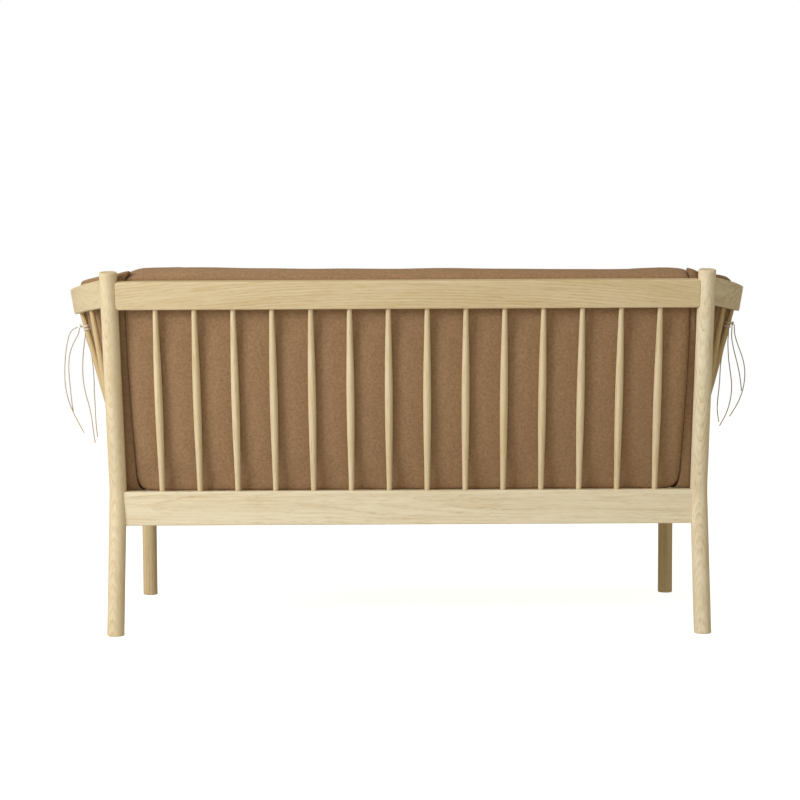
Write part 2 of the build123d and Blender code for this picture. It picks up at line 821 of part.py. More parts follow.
# Lace tails. Each hangs from a tie, out of the knot's tip or from a place under it. A point of its route
# gives how far it is from the middle, its depth, and how far it is below the outer tie
lace_tails = {
    "lace_left_1": ("tie_left_outer", None, [
        (764, 4, 15), (769, 5, 32), (772.5, 6, 54), (775, 6, 79), (776, 6, 105), (775, 6, 131),
        (771, 5, 157), (763.5, 5, 181), (754, 4, 202), (744, 4, 222), (733, 4, 242)]),
    "lace_left_2": ("tie_left_outer", 1.5, [
        (751, 1, 28), (760, 3, 46), (766, 4, 68), (767.5, 4, 93), (766, 3, 119), (763.5, 2, 145),
        (761.5, 2, 170), (757.5, 2, 194)]),
    "lace_left_3": ("tie_left_inner", 2.6, [
        (737.5, -27, 36), (740.5, -28, 59), (742, -28, 85), (742, -28, 111), (739, -27, 137),
        (733, -27, 162), (725.5, -26, 187), (721, -26, 213), (718, -27, 240), (714, -27, 266)]),
    "lace_left_4": ("tie_left_inner", -2.6, [
        (730, -23, 35), (723.5, -26, 54), (719.5, -28, 78), (717.5, -29, 103), (716, -29, 129),
        (715.8, -28, 154), (713.8, -28, 179), (713.3, -29, 204), (712, -30, 229), (709, -30, 253)]),
    "lace_right_1": ("tie_right_outer", 2.6, [
        (-744, -2, 29), (-749.5, 0, 48), (-757, 2, 69), (-763.5, 3, 92), (-765.5, 3, 116),
        (-763, 3, 141), (-756, 2, 166), (-745, 1, 190), (-730, 1, 212)]),
    "lace_right_2": ("tie_right_outer", -2.6, [
        (-736.5, -5, 30), (-739.5, -4, 50), (-744, -3, 71), (-749.5, -3, 92), (-754, -4, 113),
        (-757, -4, 134), (-759, -5, 154)]),
    "lace_right_3": ("tie_right_inner", 2.6, [
        (-733, -26, 37), (-733.5, -27, 60), (-735, -27, 86), (-738.5, -26, 112), (-741.5, -26, 138),
        (-740.5, -27, 164), (-735, -27, 189), (-725.5, -26, 213), (-713, -26, 234)]),
    "lace_right_4": ("tie_right_inner", -2.6, [
        (-728.5, -23, 37), (-723, -26, 57), (-718, -28, 81), (-715.5, -29, 107), (-714.5, -29, 133),
        (-711.5, -28, 158), (-708.5, -28, 182), (-708.3, -29, 205), (-712.5, -30, 225)]),
}


def make_tail(name, side, tie, under, route):
    """A tube of lace from its knot to its bare end, straight runs joined by arcs."""
    place = knot_place(side, tie)
    if under is None:
        start = place.origin + place.z_dir * (knot_length / 2)
        first = start + place.z_dir * lace_first_run
    else:
        level_way = Vector(place.z_dir.X, place.z_dir.Y, 0).normalized()
        start = place.origin + level_way * under - up * knot_flat
        first = start - up * lace_first_run
    points = [start, first] + [Vector(x, y, tie_level_outer - below) for x, y, below in route]
    radii = []
    for before, corner, after in zip(points, points[1:], points[2:]):
        run_in = corner - before
        run_out = after - corner
        half_turn = math.radians(run_in.get_angle(run_out)) / 2
        radii.append(lace_arc_share * min(run_in.length, run_out.length) / math.tan(half_turn))
    with BuildPart() as tail:
        with BuildLine() as path:
            FilletPolyline(*points, radius=radii)
        with BuildSketch(Plane(origin=path.line @ 0, z_dir=path.line % 0)):
            Circle(lace_radius)
        sweep(path=path.line)
    length = sum(edge.length for edge in path.edges())
    expected = math.pi * lace_radius**2 * length
    print(name, "length", round(length, 1), "radii", [round(radius, 1) for radius in radii])
    print(name, "volume over section times length", round(tail.part.volume / expected, 4))
    print(name, "start and first point", start, first)
    write(name, tail.part)


for side, word in ((1, "left"), (-1, "right")):
    make_rear_post(side, f"rear_post_{word}")
    make_front_leg(side, f"front_leg_{word}")
    make_side_rail(side, f"side_seat_rail_{word}")
    make_arm_rail(side, f"arm_rail_{word}")
    for index in range(len(arm_spindle_head_shares)):
        make_arm_spindle(side, index, f"arm_spindle_{word}_{index + 1}")
    make_corner_block(side, False, f"corner_block_rear_{word}")
    make_corner_block(side, True, f"corner_block_front_{word}")
    make_side_cushion(side, f"side_cushion_{word}")
    for place_word in ("outer", "inner"):
        name = f"tie_{word}_{place_word}"
        make_tie(side, ties[name], name)
    for name in lace_tails:
        if word in name:
            tie_name, under, route = lace_tails[name]
            make_tail(name, side, ties[tie_name], under, route)

for index in range(back_spindle_count):
    make_back_spindle(index, f"back_spindle_{index + 1:02d}")

make_crest_rail("crest_rail")
make_rear_rail("rear_seat_rail")
make_front_rail("front_seat_rail")
make_cleat(rear_cleat_y, rear_cleat_screw, "slat_cleat_rear")
make_cleat(front_cleat_y, front_cleat_screw, "slat_cleat_front")
make_slats("seat_slats")
make_slat_screws("slat_screws")
make_cleat_screws("cleat_screws")
make_back_cushion("back_cushion")
make_seat_cushion("seat_cushion")
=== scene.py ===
"""Looks of a spindle-back loveseat: soaped oak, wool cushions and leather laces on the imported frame.

Metres, in the frame of the CAD: X to the sitter's left, Y to the back and Z up. The photograph is taken
from behind. A name that ends in range holds the two values between which a share runs from 0 to 1.
"""

import math

import bpy
import numpy as np
from mathutils import Matrix, Vector, noise
from mathutils.bvhtree import BVHTree


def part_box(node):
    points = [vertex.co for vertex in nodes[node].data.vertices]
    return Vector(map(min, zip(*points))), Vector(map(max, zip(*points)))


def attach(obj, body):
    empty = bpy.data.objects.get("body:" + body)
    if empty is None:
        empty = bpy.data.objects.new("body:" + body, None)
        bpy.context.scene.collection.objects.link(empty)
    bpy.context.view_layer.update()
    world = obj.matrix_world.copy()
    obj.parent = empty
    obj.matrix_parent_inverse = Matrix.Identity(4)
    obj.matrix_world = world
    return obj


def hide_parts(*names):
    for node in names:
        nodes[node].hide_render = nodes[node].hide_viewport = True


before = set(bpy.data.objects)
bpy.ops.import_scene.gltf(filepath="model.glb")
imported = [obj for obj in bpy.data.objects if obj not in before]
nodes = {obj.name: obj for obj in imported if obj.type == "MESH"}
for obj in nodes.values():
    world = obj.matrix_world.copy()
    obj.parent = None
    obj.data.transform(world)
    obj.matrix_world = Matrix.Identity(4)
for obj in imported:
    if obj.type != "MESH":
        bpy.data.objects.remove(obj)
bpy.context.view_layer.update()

# The photograph, in its own pixels, and the camera that fits it
photo_side = 800
focal_pixels = 1557.0
horizon_row = 370.0
camera_place = Vector((0.0165, 3.5319, 0.554))
camera_roll = math.radians(0.28)
sensor_width = 36.0

# Studio: the sky and the floor are seen nearly white, and light the sofa less and more warmly
white = (1, 1, 1, 1)
sky_strength = 0.38
sky_warmth = (1.0, 0.88, 0.64, 1)
floor_side = 40
floor_grey = (0.80, 0.80, 0.80, 1)
floor_roughness = 0.9
floor_glow = 0.80

# Lamps: where each stands, the point it faces, its size, its power in watts and its colour
cool_light = (0.97, 0.98, 1.05)
plain_light = (1, 1, 1)
lamps = {
    "key": ((3.0, 2.6, 1.9), (0.0, 0.2, 0.45), (1.6, 1.6), 97, cool_light),
    "front": ((0.6, 4.4, 2.0), (0.0, 0.2, 0.45), (2.0, 2.0), 25, cool_light),
    "top": ((0.2, 0.7, 3.0), (0.0, 0.2, 0.7), (2.6, 1.4), 8, plain_light),
}

# Back: its rake, and the number and the pitch of the spindles that the back cushion bulges between
rake = math.radians(13)
rake_up = Vector((0, math.sin(rake), math.cos(rake)))
rake_back = np.array((0, math.cos(rake), -math.sin(rake)))
spindle_pitch = 0.0802
spindle_count = 14


# Camera, lights and floor
def make_camera():
    data = bpy.data.cameras.new("camera")
    data.sensor_width = sensor_width
    data.lens = sensor_width * focal_pixels / photo_side
    data.shift_y = (horizon_row - photo_side / 2) / photo_side
    camera = bpy.data.objects.new("camera", data)
    bpy.context.collection.objects.link(camera)
    level = Matrix.Rotation(math.pi, 3, "Z") @ Matrix.Rotation(math.pi / 2, 3, "X")
    camera.matrix_world = (level @ Matrix.Rotation(-camera_roll, 3, "Z")).to_4x4()
    camera.location = camera_place
    bpy.context.scene.camera = camera


def make_light(name, place, aim, size, power, colour):
    data = bpy.data.lights.new(name, "AREA")
    data.shape = "RECTANGLE"
    data.size, data.size_y = size
    data.energy = power
    data.color = colour
    light = bpy.data.objects.new(name, data)
    bpy.context.collection.objects.link(light)
    light.location = place
    light.rotation_euler = (Vector(aim) - Vector(place)).to_track_quat("-Z", "Y").to_euler()


def seen_by_camera(tree):
    return tree.nodes.new("ShaderNodeLightPath").outputs["Is Camera Ray"]


def make_sky():
    world = bpy.data.worlds.new("studio")
    world.use_nodes = True
    tree = world.node_tree
    lighting = tree.nodes["Background"]
    lighting.inputs["Color"].default_value = sky_warmth
    lighting.inputs["Strength"].default_value = sky_strength
    backdrop = tree.nodes.new("ShaderNodeBackground")
    backdrop.inputs["Color"].default_value = white
    either = tree.nodes.new("ShaderNodeMixShader")
    tree.links.new(seen_by_camera(tree), either.inputs[0])
    tree.links.new(lighting.outputs[0], either.inputs[1])
    tree.links.new(backdrop.outputs[0], either.inputs[2])
    tree.links.new(either.outputs[0], tree.nodes["World Output"].inputs["Surface"])
    bpy.context.scene.world = world


def make_floor():
    bpy.ops.mesh.primitive_plane_add(size=floor_side)
    floor = bpy.context.object
    floor.name = "floor"
    paint = bpy.data.materials.new("floor_paint")
    paint.use_nodes = True
    tree = paint.node_tree
    shader = tree.nodes["Principled BSDF"]
    shader.inputs["Base Color"].default_value = floor_grey
    shader.inputs["Roughness"].default_value = floor_roughness
    shader.inputs["Emission Color"].default_value = white
    glow = tree.nodes.new("ShaderNodeMath")
    glow.operation = "MULTIPLY"
    glow.inputs[1].default_value = floor_glow
    tree.links.new(seen_by_camera(tree), glow.inputs[0])
    tree.links.new(glow.outputs[0], shader.inputs["Emission Strength"])
    floor.data.materials.append(paint)


class Shader:
    """A material with short calls for adding and joining its nodes."""

    def __init__(self, name):
        self.material = bpy.data.materials.new(name)
        self.material.use_nodes = True
        self.tree = self.material.node_tree
        self.surface = self.tree.nodes["Principled BSDF"]

    def feed(self, socket, value):
        if isinstance(value, bpy.types.NodeSocket):
            self.tree.links.new(value, socket)
        else:
            socket.default_value = value

    def add(self, kind, sockets=None, output=0, **settings):
        node = self.tree.nodes.new("ShaderNode" + kind)
        for key, value in settings.items():
            setattr(node, key, value)
        for key, value in (sockets or {}).items():
            self.feed(node.inputs[key], value)
        return node.outputs[output]

    def math(self, operation, *values):
        return self.add("Math", dict(enumerate(values)), operation=operation)

    def dot(self, vector, axis):
        return self.add("VectorMath", {0: vector, 1: axis}, output="Value", operation="DOT_PRODUCT")

    def scaled(self, vector, factors):
        return self.add("VectorMath", {0: vector, 1: factors}, operation="MULTIPLY")

    def noise(self, vector, scale, detail=2.0, roughness=0.5):
        sockets = {"Vector": vector, "Scale": scale, "Detail": detail, "Roughness": roughness}
        return self.add("TexNoise", sockets)

    def marks(self, grain, marks_per_metre, detail=2.0, roughness=0.5):
        """Noise that is drawn out along the grain."""
        return self.noise(self.scaled(grain, marks_per_metre), 1.0, detail, roughness)

    def range(self, value, low, high, to_low=0.0, to_high=1.0):
        sockets = {0: value, 1: low, 2: high, 3: to_low, 4: to_high}
        return self.add("MapRange", sockets, interpolation_type="SMOOTHSTEP")

    def mix(self, factor, first, second):
        node = self.tree.nodes.new("ShaderNodeMix")
        node.data_type = "RGBA"
        self.feed(node.inputs[0], factor)
        self.feed(node.inputs[6], first)
        self.feed(node.inputs[7], second)
        return node.outputs[2]

    def bump(self, height, distance, strength=1.0):
        sockets = {"Height": height, "Distance": distance, "Strength": strength}
        self.feed(self.surface.inputs["Normal"], self.add("Bump", sockets))


# Oak: growth rings round a pith outside the board, fibre streaks and pores, all along the grain
pale_oak = (0.775, 0.665, 0.445, 1)
deep_oak = (0.62, 0.475, 0.245, 1)
creamy_oak = (0.85, 0.77, 0.56, 1)
pore_oak = (0.40, 0.28, 0.13, 1)
seed_shift = 1.37

# How many marks of each kind there are to a metre along, beside and across the grain
bend_marks = (1.6, 9, 9)
stray_marks = (7, 45, 45)
faint_marks = (3, 26, 26)
fibre_marks = (9, 420, 420)
streak_marks = (2.2, 60, 60)
pore_marks = (42, 900, 900)
fleck_marks = (24, 110, 330)
bundle_marks = (15, 280, 280)

# Rings: how far small bends shift them, where in a ring the late wood darkens and ends, and how faint
# a ring can get
stray_depth = 0.006
late_range = (0.35, 0.92)
ring_end_range = (1.0, 0.94)
faint_range = (0.36, 0.64)
faint_least = 0.15

# The other marks: where they set in, and how much they deepen the tone
line_range = (0.35, 0.75)
line_depth = 0.30
fleck_range = (0.62, 0.74)
fleck_depth = 0.12
bundle_range = (0.54, 0.68)
pore_range = (0.60, 0.70)
pore_depth = 0.15
late_pore_depth = 0.45
pore_dip = 1.5

# The soaped surface
oak_roughness = 0.44
fibre_roughness = 0.2
oak_gloss = 0.3
oak_relief = 0.00025
oak_relief_strength = 0.6


def oak_place(wood, name, axis, seed, pith, bow):
    """Where a point lies: its run along the grain, and how far it is from the pith to both sides."""
    along = Vector(axis).normalized()
    side = along.orthogonal().normalized() if abs(along.x) < 0.5 else Vector((0, 1, 0))
    across = along.cross(side).normalized()
    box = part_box(name)
    middle = (Vector(box[0]) + Vector(box[1])) / 2
    place = wood.add("TexCoord", output="Object")
    run = wood.dot(place, along)
    x = wood.math("ADD", run, seed * seed_shift)
    y = wood.math("SUBTRACT", wood.dot(place, side), middle.dot(side) + pith[0])
    z = wood.math("SUBTRACT", wood.dot(place, across), middle.dot(across) + pith[1])
    z = wood.math("MULTIPLY_ADD", wood.math("MULTIPLY", run, run), bow, z)
    return x, y, z


def late_wood(wood, place, grain, slope, spacing, wander):
    """The dark late wood of the rings, as a share."""
    x, y, z = place
    bend = wood.math("MULTIPLY_ADD", wood.marks(grain, bend_marks), wander * 2, -wander)
    squares = wood.math("MULTIPLY_ADD", z, z, wood.math("MULTIPLY", y, y))
    radius = wood.math("ADD", wood.math("SQRT", squares), bend)
    radius = wood.math("MULTIPLY_ADD", wood.marks(grain, stray_marks), stray_depth, radius)
    radius = wood.math("MULTIPLY_ADD", x, slope, radius)
    ring = wood.math("FRACT", wood.math("DIVIDE", radius, spacing))
    late = wood.math("MULTIPLY", wood.range(ring, *late_range), wood.range(ring, *ring_end_range))
    faint = wood.range(wood.marks(grain, faint_marks), *faint_range, faint_least, 1.0)
    return wood.math("MULTIPLY", late, faint)


def oak_tone(wood, grain, late, fibre, depth, tan, strokes):
    """How deep the wood's tone is at a point, as a share."""
    streak = wood.marks(grain, streak_marks)
    fleck = wood.range(wood.marks(grain, fleck_marks), *fleck_range)
    bundles = wood.range(wood.marks(grain, bundle_marks, roughness=0.6), *bundle_range)
    tone = wood.math("MULTIPLY_ADD", late, depth, tan)
    tone = wood.math("MULTIPLY_ADD", bundles, strokes * 2, tone)
    tone = wood.math("MULTIPLY_ADD", wood.range(fibre, *line_range), line_depth, tone)
    tone = wood.math("MULTIPLY_ADD", wood.range(streak, *line_range), line_depth, tone)
    return wood.math("MULTIPLY_ADD", fleck, -fleck_depth, tone)


def oak(
    name, axis, seed, pith=(0.06, 0.02), slope=0.03, spacing=0.0045, wander=0.012, depth=0.5, tan=0.0,
    strokes=0.15, pale=pale_oak, bow=0.0,
):
    """Soaped oak with its grain along the axis.

    pith is how far the rings' middle is to both sides of the board, slope how fast the rings run out
    along it, wander how far they stray, depth how dark the late wood is, tan how deep the whole tone,
    strokes how dark the bundles of pores, pale the lightest wood and bow how much the grain arches.
    """
    wood = Shader(name)
    place = oak_place(wood, name, axis, seed, pith, bow)
    grain = wood.add("CombineXYZ", dict(enumerate(place)))
    late = late_wood(wood, place, grain, slope, spacing, wander)
    fibre = wood.marks(grain, fibre_marks, detail=3.0, roughness=0.6)
    pores = wood.range(wood.marks(grain, pore_marks, detail=1.0), *pore_range)
    colour = wood.mix(oak_tone(wood, grain, late, fibre, depth, tan, strokes), pale, deep_oak)
    pore_share = wood.math("MULTIPLY", pores, wood.math("MULTIPLY_ADD", late, late_pore_depth, pore_depth))
    wood.feed(wood.surface.inputs["Base Color"], wood.mix(pore_share, colour, pore_oak))
    roughness = wood.math("MULTIPLY_ADD", fibre, fibre_roughness, oak_roughness)
    wood.feed(wood.surface.inputs["Roughness"], roughness)
    wood.surface.inputs["Specular IOR Level"].default_value = oak_gloss
    relief = wood.math("SUBTRACT", fibre, wood.math("MULTIPLY", pores, pore_dip))
    wood.bump(relief, oak_relief, oak_relief_strength)
    return wood.material


# Wool: a plain weave on whichever way the surface faces, with a melange of dark and light yarns. Where a
# mesh has the attribute seam, the cloth dips towards the stitches and is painted darker: dark stitching
# with painted shade in the seam's crease
threads_per_metre = 520
dark_yarn = (0.262, 0.150, 0.073, 1)
light_yarn = (0.487, 0.314, 0.168, 1)
stray_yarn = (0.66, 0.50, 0.34, 1)
worn_wool = (0.28, 0.165, 0.095, 1)
# The seam's colour: its dark stitching with painted shade in the crease
stitch_and_crease_shade = (0.10, 0.055, 0.03, 1)
dye_shift = (3.1, 1.7, 0.9)

# How many marks of each kind there are to a metre, where they set in and how much they show
speck_marks = 620.0
slub_marks = 160.0
yarn_range = (0.30, 0.72)
speck_share = 0.50
slub_share = 0.35
weave_share = 0.10
stray_yarn_marks = 900.0
stray_yarn_range = (0.68, 0.76)
stray_yarn_share = 0.45
cloud_marks = 7.0
cloud_range = (0.3, 0.7)
cloud_share = 0.12
# How much the stitching and its painted crease shade darken the cloth
stitch_and_crease_shade_share = 0.75

# The cloth's surface
wool_roughness = 0.92
wool_gloss = 0.15
wool_sheen = 0.2
wool_sheen_roughness = 0.5
wool_sheen_tint = (0.75, 0.62, 0.5, 1)
speck_relief = 0.6
seam_relief = -3.0
wool_relief = 0.0004
wool_relief_strength = 0.7


def split_axes(cloth, vector):
    node = cloth.tree.nodes.new("ShaderNodeSeparateXYZ")
    cloth.feed(node.inputs[0], vector)
    return node.outputs


def plain_weave(cloth, place):
    """Threads that cross on the plane that the surface faces."""
    turns = 2 * math.pi * threads_per_metre
    waves = [cloth.math("SINE", cloth.math("MULTIPLY", way, turns)) for way in split_axes(cloth, place)]
    facing = split_axes(cloth, cloth.add("TexCoord", output="Normal"))
    weave = 0.0
    for index, towards in enumerate(facing):
        crossing = cloth.math("MULTIPLY", waves[(index + 1) % 3], waves[(index + 2) % 3])
        weave = cloth.math("MULTIPLY_ADD", crossing, cloth.math("MULTIPLY", towards, towards), weave)
    return weave


def wool_colour(cloth, dyed, specks, weave, seam):
    """Dark and light yarns, stray pale ones, worn patches, and the dark stitching with painted shade in the
    seam's crease.
    """
    slubs = cloth.noise(dyed, slub_marks, detail=3.0, roughness=0.6)
    tone = cloth.math("MULTIPLY", cloth.range(specks, *yarn_range), speck_share)
    tone = cloth.math("MULTIPLY_ADD", cloth.range(slubs, *yarn_range), slub_share, tone)
    tone = cloth.math("MULTIPLY_ADD", weave, weave_share, tone)
    colour = cloth.mix(tone, dark_yarn, light_yarn)
    stray = cloth.range(cloth.noise(dyed, stray_yarn_marks, detail=1.0), *stray_yarn_range)
    colour = cloth.mix(cloth.math("MULTIPLY", stray, stray_yarn_share), colour, stray_yarn)
    clouds = cloth.range(cloth.noise(dyed, cloud_marks, detail=3.0), *cloud_range)
    colour = cloth.mix(cloth.math("MULTIPLY", clouds, cloud_share), colour, worn_wool)
    # Painted shade: the seam's stitches and crease are darkened
    return cloth.mix(cloth.math("MULTIPLY", seam, stitch_and_crease_shade_share), colour, stitch_and_crease_shade)


def wool(name, seed):
    cloth = Shader(name)
    place = cloth.add("TexCoord", output="Object")
    shift = tuple(seed * way for way in dye_shift)
    dyed = cloth.add("VectorMath", {0: place, 1: shift}, operation="ADD")
    specks = cloth.noise(dyed, speck_marks, roughness=0.6)
    weave = plain_weave(cloth, place)
    seam = cloth.add("Attribute", output="Fac", attribute_name="seam")
    surface = cloth.surface.inputs
    cloth.feed(surface["Base Color"], wool_colour(cloth, dyed, specks, weave, seam))
    surface["Roughness"].default_value = wool_roughness
    surface["Specular IOR Level"].default_value = wool_gloss
    surface["Sheen Weight"].default_value = wool_sheen
    surface["Sheen Roughness"].default_value = wool_sheen_roughness
    surface["Sheen Tint"].default_value = wool_sheen_tint
    fuzz = cloth.math("MULTIPLY_ADD", specks, speck_relief, weave)
    relief = cloth.math("MULTIPLY_ADD", seam, seam_relief, fuzz)
    cloth.bump(relief, wool_relief, wool_relief_strength)
    return cloth.material


# Leather: the dark and the light tone of the laces, painted darker as painted shade, and of the knots,
# painted paler as painted light, and its grain
lace_painted_shade_tones = ((0.50, 0.41, 0.29, 1), (0.68, 0.58, 0.43, 1))
tie_painted_light_tones = ((0.72, 0.64, 0.50, 1), (0.92, 0.86, 0.74, 1))
hide_grain_marks = 900.0
hide_shade_marks = 60.0
hide_range = (0.3, 0.7)
hide_roughness = 0.6
hide_relief = 0.0001
hide_relief_strength = 0.5


def leather(name, dark, light):
    hide = Shader(name)
    place = hide.add("TexCoord", output="Object")
    grain = hide.noise(place, hide_grain_marks, detail=3.0, roughness=0.6)
    shade = hide.noise(place, hide_shade_marks)
    tone = hide.math("MULTIPLY_ADD", grain, 0.5, hide.math("MULTIPLY", shade, 0.5))
    colour = hide.mix(hide.range(tone, *hide_range), dark, light)
    hide.feed(hide.surface.inputs["Base Color"], colour)
    hide.surface.inputs["Roughness"].default_value = hide_roughness
    hide.bump(grain, hide_relief, hide_relief_strength)
    return hide.material


# Zinc of the screws: its two shades, and its streaks across their length
dull_zinc = (0.50, 0.50, 0.48, 1)
bright_zinc = (0.68, 0.68, 0.66, 1)
zinc_stretch = (1, 1, 30)
zinc_marks = 400.0
zinc_range = (0.3, 0.7)
zinc_roughnesses = (0.28, 0.42)


def zinc(name):
    metal = Shader(name)
    place = metal.add("TexCoord", output="Object")
    grain = metal.noise(metal.scaled(place, zinc_stretch), zinc_marks)
    metal.feed(metal.surface.inputs["Base Color"], metal.mix(grain, dull_zinc, bright_zinc))
    metal.surface.inputs["Metallic"].default_value = 1.0
    roughness = metal.range(grain, *zinc_range, *zinc_roughnesses)
    metal.feed(metal.surface.inputs["Roughness"], roughness)
    return metal.material


def dress(node_name, material):
    """Gives a CAD node its finish."""
    data = nodes[node_name].data
    data.materials.clear()
    data.materials.append(material)


# Ways the grain runs
lengthwise = (1, 0, 0)
front_to_back = (0, 1, 0)
upright = (0, 0, 1)
leaning_up = (0, 0.06, 1)

# The posts and arms of the two sides differ in tone as painted light and shade: the right post and right arm,
# which face away from the key light, are painted paler, and the left arm, which faces it, deeper
post_painted_light_tones = {"left": {"depth": 0.4}, "right": {"depth": 0.3, "pale": creamy_oak}}
arm_painted_light_tones = {"left": {"tan": 0.12}, "right": {"pale": creamy_oak}}

# The seed of each kind of board, which shifts its noise. A pair or a row counts on from it
board_seeds = {
    "rear_post": 1,
    "front_leg": 3,
    "side_seat_rail": 5,
    "arm_rail": 7,
    "arm_spindle": 9,
    "corner_block": 14,
    "back_spindle": 20,
    "crest_rail": 40,
    "rear_seat_rail": 41,
    "front_seat_rail": 42,
    "slat_cleat": 43,
    "seat_slats": 45,
}


def dress_oak(name, axis, kind, count=0, **figure):
    """Gives a board its own oak; the count tells it from the others of its kind."""
    dress(name, oak(name, axis, board_seeds[kind] + count, **figure))


def dress_posts(side, index):
    straight = {"slope": 0.004, "wander": 0.004}
    # Each side's painted light or shade for its post
    post_figure = {"pith": (0.09, 0.05), **straight, **post_painted_light_tones[side]}
    dress_oak(f"rear_post_{side}", leaning_up, "rear_post", index, **post_figure)
    # The front legs' deeper tan is partly the oak's own yellower tone and partly painted shade for the seat's
    # shadow over them
    dress_oak(f"front_leg_{side}", leaning_up, "front_leg", index, pith=(0.08, 0.05), **straight, tan=0.35)


def dress_arm(side, index):
    low, high = (Vector(corner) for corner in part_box(f"arm_rail_{side}"))
    run = (high.x - low.x) * (1 if side == "right" else -1)
    arm_axis = (run, high.y - low.y, 0)
    # Each side's painted light or shade for its arm
    arm_figure = {"pith": (0.09, 0.10), "slope": 0.01, "depth": 0.45, **arm_painted_light_tones[side]}
    dress_oak(f"arm_rail_{side}", arm_axis, "arm_rail", index, **arm_figure)
    for number in (1, 2):
        name = f"arm_spindle_{side}_{number}"
        dress_oak(name, upright, "arm_spindle", index * 2 + number, pith=(0.04, 0.02), tan=0.95)


def dress_seat_side(side, index):
    dress_oak(f"side_seat_rail_{side}", front_to_back, "side_seat_rail", index, pith=(0.02, 0.09))
    for place in ("rear", "front"):
        dress_oak(f"corner_block_{place}_{side}", lengthwise, "corner_block", index, pith=(0.05, 0.05))


def dress_back():
    for number in range(1, spindle_count + 1):
        figure = {"pith": (0.03 + 0.004 * number, 0.02), "slope": 0.01, "depth": 0.4}
        figure["tan"] = 0.1 + 0.05 * (number % 3)
        dress_oak(f"back_spindle_{number:02d}", rake_up, "back_spindle", number, **figure)
    crest_figure = {"pith": (0.06, 0.12), "slope": 0.0, "spacing": 0.0062, "wander": 0.006, "bow": 0.11}
    crest_tone = {"depth": 0.55, "tan": 0.32, "strokes": 0.2}
    dress_oak("crest_rail", lengthwise, "crest_rail", **crest_figure, **crest_tone)
    rail_figure = {"pith": (0.05, 0.01), "slope": 0.03, "spacing": 0.0055, "wander": 0.02}
    rail_tone = {"depth": 0.22, "strokes": 0.08, "pale": creamy_oak}
    dress_oak("rear_seat_rail", lengthwise, "rear_seat_rail", **rail_figure, **rail_tone)


def dress_seat():
    rail_figure = {"pith": (0.05, 0.01), "slope": 0.03, "spacing": 0.005, "wander": 0.02}
    dress_oak("front_seat_rail", lengthwise, "front_seat_rail", **rail_figure)
    for name in ("slat_cleat_rear", "slat_cleat_front"):
        dress_oak(name, lengthwise, "slat_cleat", pith=(0.05, 0.05))
    dress_oak("seat_slats", front_to_back, "seat_slats", pith=(0.05, 0.05))
    steel = zinc("screw_zinc")
    dress("slat_screws", steel)
    dress("cleat_screws", steel)


def dress_frame():
    for index, side in enumerate(("left", "right")):
        dress_posts(side, index)
        dress_arm(side, index)
        dress_seat_side(side, index)
    dress_back()
    dress_seat()


